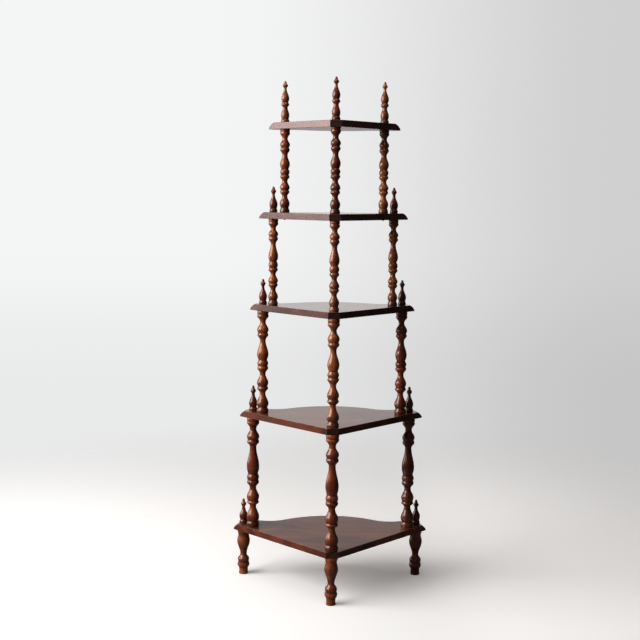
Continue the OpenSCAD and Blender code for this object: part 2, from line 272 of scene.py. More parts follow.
# Radii by tier: the pear at the foot, the other swellings, the rings, the grooves, the cove, the necks
CALIPERS = {
    1: {"foot": 14.7, "body": 14.6, "ring": 14.0, "groove": 11.4, "cove": 10.5, "neck": 7.9},
    2: {"foot": 14.7, "body": 14.7, "ring": 14.1, "groove": 11.6, "cove": 10.5, "neck": 7.6},
    3: {"foot": 18.2, "body": 17.4, "ring": 16.9, "groove": 14.3, "cove": 12.9, "neck": 8.6},
    4: {"foot": 19.6, "body": 19.2, "ring": 18.6, "groove": 16.5, "cove": 15.2, "neck": 10.0},
}
# The first forms from the foot, which have the foot's radius
FOOT_FORMS = 3
END_BEAD = 1.2
CREASE_DEPTH = 1.1


def spindle_marks(tier):
    """The story stick of a tier, with a radius and a sort of curve for every mark."""
    caliper = CALIPERS[tier]
    marks = [(0, caliper["foot"] - END_BEAD, EDGE)]
    for place, (form, height) in enumerate(zip(SPINDLE_FORMS, STICKS[tier])):
        if form in ("bead", "pear") and place < FOOT_FORMS:
            marks.append((height, caliper["foot"], SWELL))
        elif form in ("pear", "vase", "bead"):
            marks.append((height, caliper["body"], SWELL))
        elif form == "crease":
            marks.append((height, caliper["body"] - CREASE_DEPTH, EDGE))
        elif form == "neck":
            marks.append((height, caliper["neck"], NECK))
        elif form == "ring":
            marks.append((height, caliper["ring"], SWELL))
        else:
            marks.append((height, caliper[form], EDGE))
    marks.append(((marks[-1][0] + TIER_HEIGHT[tier]) / 2, caliper["body"], SWELL))
    marks.append((TIER_HEIGHT[tier], caliper["body"] - END_BEAD, EDGE))
    return marks


for tier, height in TIER_HEIGHT.items():
    print("a spindle of tier", tier, "is", height, "mm long and has", len(spindle_marks(tier)), "marks")


# %% Turn the spindles and copy each to the sides
def copy_to(pattern, name, foot, old_foot):
    """A copy with its own mesh, moved to another post, with its place in its mesh."""
    clear_selection()
    pattern.select_set(True)
    bpy.context.view_layer.objects.active = pattern
    bpy.ops.object.duplicate(linked=False)
    piece = bpy.context.object
    piece.name = name
    bpy.ops.transform.translate(value=foot - old_foot)
    bpy.ops.object.transform_apply(location=True, rotation=False, scale=False)
    return piece


def stand_in(piece, node):
    """Let a new piece stand for a CAD node, and ride where that node rides."""
    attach(piece, "root")
    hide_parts(node)


def turn_set(forms, marks):
    """Turn the first piece of a set, then copy it to the other posts. Returns the pieces."""
    (first_name, first_node), *others = forms
    first_foot = foot_of(first_node)
    first = turn(first_name, marks, first_foot)
    made = [first]
    stand_in(first, first_node)
    for name, node in others:
        piece = copy_to(first, name, foot_of(node), first_foot)
        stand_in(piece, node)
        made.append(piece)
    return made


turned_pieces = []
for tier in TIER_HEIGHT:
    spindles = [(f"turned_spindle_{tier}_{side}", f"{side}_spindle_{tier}") for side in SIDES]
    turned_pieces += turn_set(spindles, spindle_marks(tier))
print(len(turned_pieces), "spindles")

# %% [markdown]
# ## Legs
#
# A leg stands on a toe, thins to an ankle, and swells to a ring and a bead. Over a slim neck it opens
# into a long bulb, the widest swelling of all the turnings, under a collar that meets the bottom board.
# No other piece repeats its forms, so its story stick is written out whole, and the same lathe turns it.

# %% Turn the three legs
LEG_MARKS = [
    (0, 13.4, EDGE), (1.2, 14.4, SWELL), (3.4, 14.3, SWELL), (7, 13.6, SWELL), (15, 13.6, SWELL),
    (21.5, 14.9, EDGE), (29.5, 18.8, SWELL), (39.5, 16.5, EDGE), (48, 18, SWELL), (64, 10, SWELL),
    (107.5, 20.1, SWELL), (128, 16.5, SWELL), (137, 18.6, SWELL), (143, 18, EDGE),
]
turned_pieces += turn_set([(f"turned_leg_{side}", f"{side}_leg") for side in SIDES], LEG_MARKS)
print(len(turned_pieces), "turned pieces with the legs")

# %% [markdown]
# ## Finials
#
# A tall finial stands over each post on the top board, and a short one over each side post of the other
# boards, where the next tier steps in. The short ones of the two lowest boards are a little stouter. All
# end in a flared spire with a small point, which is the most delicate turning on the piece. A tall stick
# could be squeezed into a short one, but its beads would grow flat, so each length has its own marks.

# %% Turn the tall, the short and the stout finials
TALL_MARKS = [
    (0, 11.6, EDGE), (3.4, 12.6, SWELL), (10, 10.2, EDGE), (21.5, 12.2, SWELL), (42.5, 7.1, NECK),
    (51, 11.7, SWELL), (58.2, 8.6, EDGE), (68.5, 11.6, SWELL), (97, 4.1, NECK), (105.8, 7.9, SWELL),
    (113.5, 4.1, SWELL), (117.5, 3.3, SWELL), (120, 0, EDGE),
]
SHORT_MARKS = [
    (0, 11, EDGE), (4.5, 12.1, SWELL), (11.2, 9.6, EDGE), (23, 12.2, SWELL), (51, 4.3, NECK),
    (62, 7.9, SWELL), (70.2, 4, SWELL), (73.6, 3.3, SWELL), (76, 0, EDGE),
]
STOUT_MARKS = [
    (0, 11.8, EDGE), (6.8, 12.8, SWELL), (13.2, 10.2, EDGE), (24.4, 12.9, SWELL), (53.5, 4.7, NECK),
    (62.4, 8.6, SWELL), (73, 4.3, SWELL), (77.2, 3.5, SWELL), (80, 0, EDGE),
]
turned_pieces += turn_set(
    [(f"turned_finial_top_{side}", f"{side}_top_finial") for side in SIDES], TALL_MARKS
)
for levels, marks in (((2, 3), SHORT_MARKS), ((4, 5), STOUT_MARKS)):
    turned_pieces += turn_set(
        [
            (f"turned_finial_{ORDER[level]}_{side}", f"{side}_{ORDER[level]}_finial")
            for level in levels
            for side in ("left", "right")
        ],
        marks,
    )
print(len(turned_pieces), "turned pieces in all")

# %% [markdown]
# ## Boards
#
# A board's two straight edges go against the walls. Its free edge is a serpentine: a middle bow, a hollow
# on each side and a lobe at each end, all arcs that run smoothly into each other. A cabinetmaker draws
# them with a compass, saws them out and works a moulding along the top edge. Here one vertex is swept
# about the same compass points, the half outline is mirrored and filled, the face is pulled up to the
# board's thickness, and a bevel cuts the moulding, a flattened ovolo. Cylinders cut by booleans could give
# the same outline, but arcs that touch leave one clean edge for the bevel to follow. The lobes are left
# too long at first. The wall edges are sawn last, which is why the moulding shows in section at the tips.

# %% Compass points of the serpentine
WALL_MARGIN = 23.5 * MM
CORNER_FLAT = 16.5 * MM
BOARD_THICKNESS = 19 * MM
BOW_SHARE = 0.86
HOLLOW_SHARE = 0.235
LOBE_SHARE = 0.21
TIP_TURN = math.radians(10)
OVERRUN = math.radians(55)


def heading(vector):
    """Angle of a direction, counter-clockwise from +X."""
    return math.atan2(vector.y, vector.x)


def touching_circle(inner, inner_radius, outer, outer_radius, radius):
    """Centre of the hollow's circle, which touches the bow's and the lobe's from the front."""
    line = outer - inner
    span = line.length
    reach_in, reach_out = inner_radius + radius, outer_radius + radius
    along = (span ** 2 + reach_in ** 2 - reach_out ** 2) / (2 * span)
    aside = math.sqrt(reach_in ** 2 - along ** 2)
    return inner + (along * line + aside * Vector((line.y, -line.x))) / span


def compass(shelf):
    """The arcs of a board's right half: each is (centre, angle to sweep, counter-clockwise)."""
    low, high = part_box(shelf)
    half = high.x
    tip = Vector((half, corner_axis.y - (half - WALL_MARGIN * math.sqrt(2))))
    bow_radius, hollow_radius, lobe_radius = (
        half * share for share in (BOW_SHARE, HOLLOW_SHARE, LOBE_SHARE)
    )
    bow = Vector((0, low.y + bow_radius))
    lobe = tip - lobe_radius * Vector((math.cos(TIP_TURN), -math.sin(TIP_TURN)))
    hollow = touching_circle(bow, bow_radius, lobe, lobe_radius, hollow_radius)
    bow_sweep = heading(hollow - bow) + math.pi / 2
    hollow_sweep = heading(bow - hollow) - heading(lobe - hollow)
    lobe_sweep = -TIP_TURN - heading(hollow - lobe)
    start = Vector((0, low.y, low.z))
    return start, [(bow, bow_sweep), (hollow, -hollow_sweep), (lobe, lobe_sweep + OVERRUN)]


for order in ORDER.values():
    start, arcs = compass(f"{order}_shelf")
    print(order, "board starts at", tuple(round(v, 3) for v in start), "and sweeps",
          [round(math.degrees(sweep), 1) for centre, sweep in arcs])

# %% Sweep the outline and cut the moulding
ARC_STEP = math.radians(3.4)
MOULDING = 16 * MM
MOULDING_SHAPE = 0.33
MOULDING_SEGMENTS = 10
LEVEL_WITHIN = 0.1 * MM


def sweep_outline(name, start, arcs):
    """Sweep one vertex along the arcs of a board's right half. Spin counts clockwise as positive."""
    board = start_outline(name, start)
    for centre, angle in arcs:
        bpy.ops.mesh.spin(
            steps=round(abs(angle) / ARC_STEP), angle=-angle,
            center=(centre.x, centre.y, start.z), axis=(0, 0, 1),
        )
    return board


def round_over(board, top, back):
    """Cut the moulding along the serpentine's top edge."""
    bpy.ops.mesh.select_mode(type="EDGE")
    bpy.ops.mesh.select_all(action="DESELECT")
    bpy.ops.object.mode_set(mode="OBJECT")
    points = board.data.vertices
    for edge in board.data.edges:
        ends = [points[index].co for index in edge.vertices]
        on_top = all(abs(end.z - top) < LEVEL_WITHIN for end in ends)
        in_front = all(end.y < back - MM for end in ends)
        edge.select = on_top and in_front
    bpy.ops.object.mode_set(mode="EDIT")
    bpy.ops.mesh.bevel(
        offset=MOULDING, offset_type="OFFSET", segments=MOULDING_SEGMENTS, profile=MOULDING_SHAPE,
        affect="EDGES", clamp_overlap=False,
    )
    bpy.ops.mesh.select_mode(type="VERT")


# %% Saw a board from the swept blank
SAW_ROOM = 60 * MM


def saw(point, outward):
    """Cut a board through by a plane, and close the cut."""
    bpy.ops.mesh.select_all(action="SELECT")
    bpy.ops.mesh.bisect(plane_co=point, plane_no=outward, clear_outer=True, use_fill=True)


def selected_vertex(board):
    """Place of the one selected vertex."""
    board.update_from_editmode()
    return next(vertex.co.copy() for vertex in board.data.vertices if vertex.select)


def make_board(name, shelf):
    """Sweep, mirror, fill, thicken, mould and saw one board."""
    start, arcs = compass(shelf)
    board = sweep_outline(name, start, arcs)
    end = selected_vertex(board)
    back = corner_axis.y + CORNER_FLAT + SAW_ROOM
    pull(y=back - end.y)
    pull(x=-end.x)
    bpy.ops.mesh.select_all(action="SELECT")
    bpy.ops.mesh.symmetrize(direction="POSITIVE_X")
    bpy.ops.mesh.select_all(action="SELECT")
    bpy.ops.mesh.remove_doubles(threshold=MERGE_WITHIN)
    bpy.ops.mesh.edge_face_add()
    pull(z=BOARD_THICKNESS)
    round_over(board, start.z + BOARD_THICKNESS, back)
    across = WALL_MARGIN / math.sqrt(2)
    for side in (-1, 1):
        saw((side * across, corner_axis.y + across, start.z), (side, 1, 0))
    saw((0, corner_axis.y + CORNER_FLAT, start.z), (0, 1, 0))
    close_shell()
    return board


# %% Rub the edges down and mark where shade is painted
ARRIS = 0.7 * MM
ARRIS_SEGMENTS = 3
CORNER_REACH = 12 * MM
FACING_BACK = 0.9
FACING_ASIDE = 0.6


def soften_arrises(board):
    """Rub the sharp edges down a little, as two lifetimes of dusting do, and keep the flats flat."""
    clear_selection()
    board.select_set(True)
    bpy.context.view_layer.objects.active = board
    bpy.ops.object.shade_smooth_by_angle(angle=SMOOTH_BELOW)
    rub = board.modifiers.new("arris", "BEVEL")
    rub.width = ARRIS
    rub.segments = ARRIS_SEGMENTS
    rub.limit_method = "ANGLE"
    rub.angle_limit = SMOOTH_BELOW
    rub.use_clamp_overlap = False
    flatten = board.modifiers.new("flats", "WEIGHTED_NORMAL")
    flatten.keep_sharp = True
    for modifier in ("arris", "flats"):
        bpy.ops.object.modifier_apply(modifier=modifier)


def note_painted_shade(board, edge_share):
    """Mark the blunt corner's end-grain facet and the right wall edge for painted shade, which darkens
    them.
    """
    # The layer holds painted shade: the corner facet in full, the right wall edge by edge_share
    stained = board.data.attributes.new("shade_and_stain", "FLOAT", "FACE")
    for face, shade_and_stain in zip(board.data.polygons, stained.data):
        at_corner = abs(face.center.x) < CORNER_REACH and face.normal.y > FACING_BACK
        on_edge = face.normal.x > FACING_ASIDE and face.normal.y > FACING_ASIDE
        shade_and_stain.value = 1.0 if at_corner else edge_share * on_edge


# %% Make the five boards
# Share of painted shade on each board's right wall edge, darker on the lower boards
EDGE_SHADE = {"top": 0, "second": 0, "third": 0, "fourth": 0.45, "bottom": 0.35}
boards = []
for order in ORDER.values():
    board = make_board(f"board_{order}", f"{order}_shelf")
    soften_arrises(board)
    note_painted_shade(board, EDGE_SHADE[order])
    stand_in(board, f"{order}_shelf")
    boards.append(board)
    print(board.name, "has", len(board.data.polygons), "faces and measures",
          tuple(round(side, 4) for side in board.dimensions))

# %% [markdown]
# ## Finishes as nodes
#
# A finish could be wired by hand in the shader editor. In code the same nodes are added and linked by a
# few short helpers, so a recipe reads as a list of steps. What several finishes share, such as grain, wear
# or dust, is a group with named inputs, which is built once and placed in each material.

# %% Helpers to add nodes and to build a group
def add_node(tree, kind, **settings):
    """A node in a tree, with its settings and the values of its named inputs."""
    node = tree.nodes.new(kind)
    for name, value in settings.items():
        if name == "inputs":
            for socket, number in value.items():
                node.inputs[socket].default_value = number
        else:
            setattr(node, name, value)
    return node


def new_group(name, inputs, outputs):
    """A shader node group with named inputs (kind, first value) and outputs (kind)."""
    group = bpy.data.node_groups.new(name, "ShaderNodeTree")
    for socket, (kind, value) in inputs.items():
        made = group.interface.new_socket(socket, in_out="INPUT", socket_type=kind)
        if value is not None:
            made.default_value = value
    for socket, kind in outputs.items():
        group.interface.new_socket(socket, in_out="OUTPUT", socket_type=kind)
    entry = group.nodes.new("NodeGroupInput")
    leave = group.nodes.new("NodeGroupOutput")
    return group, entry, leave


# %% Helpers for sums, colours and noise
# Places of a Mix node's colour sockets, which share their names with those for numbers
MIX_SHARE, MIX_FIRST, MIX_SECOND, MIX_RESULT = 0, 6, 7, 2


def math_node(tree, operation, first, second, clamp=False):
    """One sum of two values, each a number or a socket."""
    node = add_node(tree, "ShaderNodeMath", operation=operation, use_clamp=clamp)
    for place, value in enumerate((first, second)):
        if isinstance(value, (int, float)):
            node.inputs[place].default_value = value
        else:
            tree.links.new(value, node.inputs[place])
    return node.outputs["Value"]


def blend_colours(tree, share, first, second, blend_type="MIX"):
    """Mix two colours by a share. Each of the three may be a value or a socket."""
    node = add_node(tree, "ShaderNodeMix", data_type="RGBA", blend_type=blend_type)
    for place, value in ((MIX_SHARE, share), (MIX_FIRST, first), (MIX_SECOND, second)):
        if isinstance(value, bpy.types.NodeSocket):
            tree.links.new(value, node.inputs[place])
        else:
            node.inputs[place].default_value = value
    return node.outputs[MIX_RESULT]


def parts_of(tree, vector):
    """The X, Y and Z of a vector."""
    parts = add_node(tree, "ShaderNodeSeparateXYZ")
    tree.links.new(vector, parts.inputs["Vector"])
    return parts.outputs


def noise_on_piece(tree, scale, detail, roughness=0.5):
    """Even noise in a piece's own coordinates."""
    place = add_node(tree, "ShaderNodeTexCoord")
    noise = add_node(
        tree, "ShaderNodeTexNoise", inputs={"Scale": scale, "Detail": detail, "Roughness": roughness},
    )
    tree.links.new(place.outputs["Object"], noise.inputs["Vector"])
    return noise.outputs["Fac"]


def stretched_noise(tree, vector, squeeze, scale, detail, distortion=0.0):
    """Noise that is drawn out along Z. Squeeze is how many times longer it is that way."""
    stretch = add_node(tree, "ShaderNodeMapping", inputs={"Scale": (1, 1, 1 / squeeze)})
    noise = add_node(
        tree, "ShaderNodeTexNoise",
        inputs={"Scale": scale, "Detail": detail, "Roughness": 0.55, "Distortion": distortion},
    )
    tree.links.new(vector, stretch.inputs["Vector"])
    tree.links.new(stretch.outputs["Vector"], noise.inputs["Vector"])
    return noise.outputs["Fac"]


def band(tree, value, low, high):
    """Spread a value between two limits over 0 to 1."""
    node = add_node(
        tree, "ShaderNodeMapRange", interpolation_type="SMOOTHSTEP",
        inputs={"From Min": low, "From Max": high},
    )
    tree.links.new(value, node.inputs["Value"])
    return node.outputs["Result"]


# %% [markdown]
# ## Grain
#
# Walnut shows three things at once. Broad dark and pale bands come from the growth rings, thin streaks run
# along the grain, and short dark pores lie open between them. All three are noise that is stretched along
# one direction, only at different sizes. The group below stretches along its own Z, so a material first
# turns its Object coordinates until Z lies along the wood's grain. The coordinates are in metres, so the
# sizes can be read as real ones.

# %% The walnut group
COLOUR, VALUE, VECTOR = "NodeSocketColor", "NodeSocketFloat", "NodeSocketVector"
PORE_DEPTH = 0.55
STREAK_RELIEF = 0.35
walnut, walnut_in, walnut_out = new_group(
    "walnut figure",
    {
        "Vector": (VECTOR, None),
        "Dark": (COLOUR, (0.03, 0.01, 0.005, 1)),
        "Middle": (COLOUR, (0.12, 0.04, 0.018, 1)),
        "Pale": (COLOUR, (0.26, 0.1, 0.045, 1)),
        "Streaks": (VALUE, 0.7),
    },
    {"Color": COLOUR, "Height": VALUE},
)
grain_place = walnut_in.outputs["Vector"]
rings = stretched_noise(walnut, grain_place, squeeze=3, scale=11, detail=4, distortion=1.2)
fine_lines = stretched_noise(walnut, grain_place, squeeze=22, scale=170, detail=4)
short_lines = stretched_noise(walnut, grain_place, squeeze=26, scale=900, detail=2)
figure = band(walnut, rings, low=0.34, high=0.66)
streaks = band(walnut, fine_lines, low=0.3, high=0.72)
pores = band(walnut, short_lines, low=0.58, high=0.7)
body_colour = blend_colours(walnut, figure, walnut_in.outputs["Middle"], walnut_in.outputs["Pale"])
dark_share = math_node(walnut, "MULTIPLY", math_node(walnut, "SUBTRACT", 1.0, streaks),
                       walnut_in.outputs["Streaks"])
streaked = blend_colours(walnut, dark_share, body_colour, walnut_in.outputs["Dark"])
pored = blend_colours(walnut, math_node(walnut, "MULTIPLY", pores, PORE_DEPTH), streaked,
                      walnut_in.outputs["Dark"])
walnut.links.new(pored, walnut_out.inputs["Color"])
relief = math_node(walnut, "SUBTRACT", math_node(walnut, "MULTIPLY", streaks, STREAK_RELIEF), pores)
walnut.links.new(relief, walnut_out.inputs["Height"])
print("walnut group has", len(walnut.nodes), "nodes")

# %% [markdown]
# ## Uneven stain
#
# Stain does not take evenly on turned wood. Each swelling drinks more or less of it, so a post shows darker
# and lighter belts. The belts could be painted on by hand, but a slow noise that changes quickly along the
# post and slowly across it gives about one to each swelling. It multiplies the colour, so the figure of the
# wood still shows through.

# %% Uneven stain group
BELTS_PER_METRE = (5, 5, 24)
DEEP_TINT = (0.6, 0.46, 0.48, 1)
LIGHT_TINT = (1.3, 1.45, 1.4, 1)
stain, stain_in, stain_out = new_group(
    "uneven stain",
    {"Color": (COLOUR, (0.1, 0.04, 0.02, 1)), "Strength": (VALUE, 0.8)},
    {"Color": COLOUR},
)
stain_place = add_node(stain, "ShaderNodeTexCoord")
belt_by_belt = add_node(stain, "ShaderNodeMapping", inputs={"Scale": BELTS_PER_METRE})
uptake = add_node(stain, "ShaderNodeTexNoise", inputs={"Scale": 1.0, "Detail": 2.0, "Roughness": 0.6})
stain.links.new(stain_place.outputs["Object"], belt_by_belt.inputs["Vector"])
stain.links.new(belt_by_belt.outputs["Vector"], uptake.inputs["Vector"])
lightness = band(stain, uptake.outputs["Fac"], low=0.36, high=0.64)
tint = blend_colours(stain, lightness, DEEP_TINT, LIGHT_TINT)
tinted = blend_colours(stain, stain_in.outputs["Strength"], stain_in.outputs["Color"], tint,
                       blend_type="MULTIPLY")
stain.links.new(tinted, stain_out.inputs["Color"])
print("uneven stain group has", len(stain.nodes), "nodes")

# %% [markdown]
# ## Wear and dust
#
# A century of handling rubs the polish thin along sharp edges and lets a little dust settle on what faces
# up. Wear shows where a rounded normal differs from the true one, and dust comes from the normal's own Z.
# Each is a group, because boards and turnings both use them. Two more darkenings need no group: painted
# shade with dark old polish in the creases, and painted shade at the feet of the turnings, partly deeper
# stain, and on the boards' corner facets and lower right wall edges. The modelling cells stored both in the
# meshes, as the values crease and shade_and_stain, and the material reads them there.

# %% Edge wear group
wear, wear_in, wear_out = new_group(
    "edge wear",
    {
        "Color": (COLOUR, (0.1, 0.04, 0.02, 1)),
        "Worn": (COLOUR, (0.35, 0.16, 0.08, 1)),
        "Radius": (VALUE, 1.2 * MM),
        "Strength": (VALUE, 1.0),
    },
    {"Color": COLOUR},
)
rounded = add_node(wear, "ShaderNodeBevel", samples=6)
true_normal = add_node(wear, "ShaderNodeNewGeometry")
agreement = add_node(wear, "ShaderNodeVectorMath", operation="DOT_PRODUCT")
wear.links.new(wear_in.outputs["Radius"], rounded.inputs["Radius"])
wear.links.new(rounded.outputs["Normal"], agreement.inputs[0])
wear.links.new(true_normal.outputs["Normal"], agreement.inputs[1])
sharpness = math_node(wear, "SUBTRACT", 1.0, agreement.outputs["Value"])
rubbed = band(wear, sharpness, low=0.01, high=0.16)
patchy = band(wear, noise_on_piece(wear, scale=60, detail=3), low=0.3, high=0.65)
in_patches = math_node(wear, "MULTIPLY", rubbed, patchy)
wear_mask = math_node(wear, "MULTIPLY", in_patches, wear_in.outputs["Strength"], clamp=True)
wear.links.new(blend_colours(wear, wear_mask, wear_in.outputs["Color"], wear_in.outputs["Worn"]),
               wear_out.inputs["Color"])
print("edge wear group has", len(wear.nodes), "nodes")

# %% Dust group
DUST_COLOUR = (0.42, 0.36, 0.31, 1)
dust, dust_in, dust_out = new_group(
    "settled dust",
    {"Color": (COLOUR, (0.1, 0.04, 0.02, 1)), "Amount": (VALUE, 0.1)},
    {"Color": COLOUR, "Mask": VALUE},
)
facing = add_node(dust, "ShaderNodeNewGeometry")
upwards = band(dust, parts_of(dust, facing.outputs["Normal"])["Z"], low=0.55, high=1.0)
drifts = band(dust, noise_on_piece(dust, scale=22, detail=6, roughness=0.7), low=0.3, high=0.8)
lying = math_node(dust, "MULTIPLY", upwards, drifts)
dust_mask = math_node(dust, "MULTIPLY", lying, dust_in.outputs["Amount"], clamp=True)
dust.links.new(blend_colours(dust, dust_mask, dust_in.outputs["Color"], DUST_COLOUR),
               dust_out.inputs["Color"])
dust.links.new(dust_mask, dust_out.inputs["Mask"])
print("dust group has", len(dust.nodes), "nodes")

# %% [markdown]
# ## Polish
#
# French polish is a thin, clear, glossy coat that follows the wood below it and is never quite level. Two
# layers of the Principled shader say this: a rougher base for the wood, and a coat with a tight highlight.
# One glossy layer alone would look like plastic, with no shine from the wood itself. The polish group gives
# a roughness that wanders a little and a height with long, shallow ripples, which is what breaks up the
# reflections on an old board.

# %% Polish group
NOISE_MIDDLE = 0.5
polish, polish_in, polish_out = new_group(
    "old polish",
    {"Roughness": (VALUE, 0.3), "Spread": (VALUE, 0.12)},
    {"Roughness": VALUE, "Height": VALUE},
)
clouds = noise_on_piece(polish, scale=14, detail=5, roughness=0.6)
wander = math_node(polish, "MULTIPLY", math_node(polish, "SUBTRACT", clouds, NOISE_MIDDLE),
                   polish_in.outputs["Spread"])
polish.links.new(math_node(polish, "ADD", polish_in.outputs["Roughness"], wander),
                 polish_out.inputs["Roughness"])
ripples = noise_on_piece(polish, scale=30, detail=2)
polish.links.new(ripples, polish_out.inputs["Height"])
print("polish group has", len(polish.nodes), "nodes")

# %% [markdown]
# ## Two woods from one recipe
#
# Boards and turnings are the same timber under the same polish, cut in different directions. The boards'
# grain runs along the front, and a turning's grain runs up its axis. So one function makes both materials,
# and only the turn of the grain, the colours and the amounts differ. The colour comes first: the figure,
# then painted shade with dark old polish in the creases and belts of stain on a turning, then painted shade
# on the boards' corner facets and lower right edges and at the turnings' feet, where the stain also lies
# deeper, then worn edges.

# %% Colour of the wood under the polish
# Painted shade with dark old polish in the creases of a turning
CREASE_SHADE_AND_POLISH = 0.8
BELT_STRENGTH = 0.85
WEAR_STRENGTH = 0.6


def group_node(tree, group, **values):
    """A group placed in a material, with its own values."""
    node = add_node(tree, "ShaderNodeGroup", node_tree=group)
    for name, value in values.items():
        node.inputs[name].default_value = value
    return node


def stored_share(tree, name, strength):
    """A value that the modelling cells stored in the mesh, times a strength."""
    stored = add_node(tree, "ShaderNodeAttribute", attribute_name=name)
    return math_node(tree, "MULTIPLY", stored.outputs["Fac"], strength)


def stained_and_shaded_colour(tree, colour, dark, worn, shade_and_stain_share, is_turned):
    """Darken a colour by painted shade with old polish in creases, belts of stain, and painted shade with
    deeper stain at feet and on board corners and edges; lighten worn edges.
    """
    if is_turned:
        # Painted shade with dark old polish in the creases
        creased = blend_colours(tree, stored_share(tree, "crease", CREASE_SHADE_AND_POLISH), colour, dark)
        belted = group_node(tree, stain, Strength=BELT_STRENGTH)
        tree.links.new(creased, belted.inputs["Color"])
        colour = belted.outputs["Color"]
    # Painted shade at the turnings' feet, with deeper stain, and on the boards' corner facet and marked
    # edges
    colour = blend_colours(tree, stored_share(tree, "shade_and_stain", shade_and_stain_share), colour, dark)
    worn_edge = group_node(tree, wear, Worn=worn, Strength=WEAR_STRENGTH)
    tree.links.new(colour, worn_edge.inputs["Color"])
    return worn_edge.outputs["Color"]


# %% [markdown]
# ## Where the coat is thin
#
# A polisher builds up the coat on the top of a board, gives its sawn wall edges far less, and leaves the
# underside a little duller. A second material for each of these would need its own slot on every board.
# The direction that a face looks in tells them apart as well, so the coat's weight and the roughness are
# worked out from the normal's Z.

# %% Coat of the boards
# What is taken off the coat below a board and on its upright edges, and what is added to its roughness
BARE_COAT_LOSS = 0.05
SAWN_COAT_LOSS = 0.65
BARE_ROUGHNESS = 0.2


def thinned_coat(tree, coat, roughness):
    """Coat and roughness of a board, with less polish below it and on its sawn edges."""
    facing = add_node(tree, "ShaderNodeNewGeometry")
    upward = parts_of(tree, facing.outputs["Normal"])["Z"]
    below = band(tree, math_node(tree, "MULTIPLY", upward, -1.0), low=0.6, high=0.95)
    slope = math_node(tree, "ABSOLUTE", upward, 0.0)
    upright = math_node(tree, "SUBTRACT", 1.0, band(tree, slope, low=0.1, high=0.5))
    for share, loss in ((below, BARE_COAT_LOSS), (upright, SAWN_COAT_LOSS)):
        coat = math_node(tree, "SUBTRACT", coat, math_node(tree, "MULTIPLY", share, loss), clamp=True)
    duller = math_node(tree, "MULTIPLY", below, BARE_ROUGHNESS)
    return coat, math_node(tree, "ADD", roughness, duller)


# %% [markdown]
# ## The polished walnut
#
# The recipe joins all of it in one Principled shader. Two Bump nodes lie one over the other, a fine one for
# the open pores and a broad one for the ripples of the polish. The shine of the wood below the coat is
# tinted, rosy on the boards and amber on the turnings, because light comes back through stained polish.

# %% The polished walnut recipe
AMBER = (1, 0.72, 0.5, 1)
ROSE = (1, 0.77, 0.8, 1)
DUST_ROUGHNESS = 0.6
PORE_BUMP = {"Strength": 0.12, "Distance": 0.1 * MM}
RIPPLE_BUMP = {"Strength": 0.16, "Distance": MM}


def polished_walnut(name, grain_turn, colours, streaks, dust_amount, roughness, gloss_width, sheen,
                    shade_and_stain_share, is_turned):
    """Walnut with its figure, worn edges, dust and polish. Colours are dark, middle, pale and worn."""
    material = bpy.data.materials.new(name)
    material.use_nodes = True
    tree = material.node_tree
    shader = tree.nodes["Principled BSDF"]
    place = add_node(tree, "ShaderNodeTexCoord")
    turned = add_node(tree, "ShaderNodeMapping", inputs={"Rotation": grain_turn})
    tree.links.new(place.outputs["Object"], turned.inputs["Vector"])
    dark, middle, pale, worn = colours
    grain = group_node(tree, walnut, Dark=dark, Middle=middle, Pale=pale, Streaks=streaks)
    tree.links.new(turned.outputs["Vector"], grain.inputs["Vector"])
    colour = stained_and_shaded_colour(tree, grain.outputs["Color"], dark, worn, shade_and_stain_share, is_turned)
    dusty = group_node(tree, dust, Amount=dust_amount)
    tree.links.new(colour, dusty.inputs["Color"])
    tree.links.new(dusty.outputs["Color"], shader.inputs["Base Color"])
    gloss = group_node(tree, polish, Roughness=roughness)
    dusty_roughness = math_node(tree, "MULTIPLY", dusty.outputs["Mask"], DUST_ROUGHNESS)
    dulled = math_node(tree, "ADD", gloss.outputs["Roughness"], dusty_roughness)
    coat = math_node(tree, "SUBTRACT", 1.0, dusty.outputs["Mask"], clamp=True)
    if not is_turned:
        coat, dulled = thinned_coat(tree, coat, dulled)
    tree.links.new(dulled, shader.inputs["Roughness"])
    tree.links.new(coat, shader.inputs["Coat Weight"])
    shader.inputs["Specular IOR Level"].default_value = sheen
    shader.inputs["Specular Tint"].default_value = AMBER if is_turned else ROSE
    shader.inputs["Coat Roughness"].default_value = gloss_width
    pore_bump = add_node(tree, "ShaderNodeBump", inputs=PORE_BUMP)
    ripple_bump = add_node(tree, "ShaderNodeBump", inputs=RIPPLE_BUMP)
    tree.links.new(grain.outputs["Height"], pore_bump.inputs["Height"])
    tree.links.new(gloss.outputs["Height"], ripple_bump.inputs["Height"])
    tree.links.new(ripple_bump.outputs["Normal"], pore_bump.inputs["Normal"])
    tree.links.new(pore_bump.outputs["Normal"], shader.inputs["Normal"])
    return material


# %% [markdown]
# ## Tones of stain
#
# The boards and the turned pieces did not all take the stain alike. The boards go from nearly black at the
# top to a purplish red at the bottom, and the turnings from ebony to gold. Each tone is four colours, for
# the dark streaks, the body, the pale bands and the worn edges. One material whose colour drifts with
# height would be shorter, but it could not set one post apart from its neighbour.

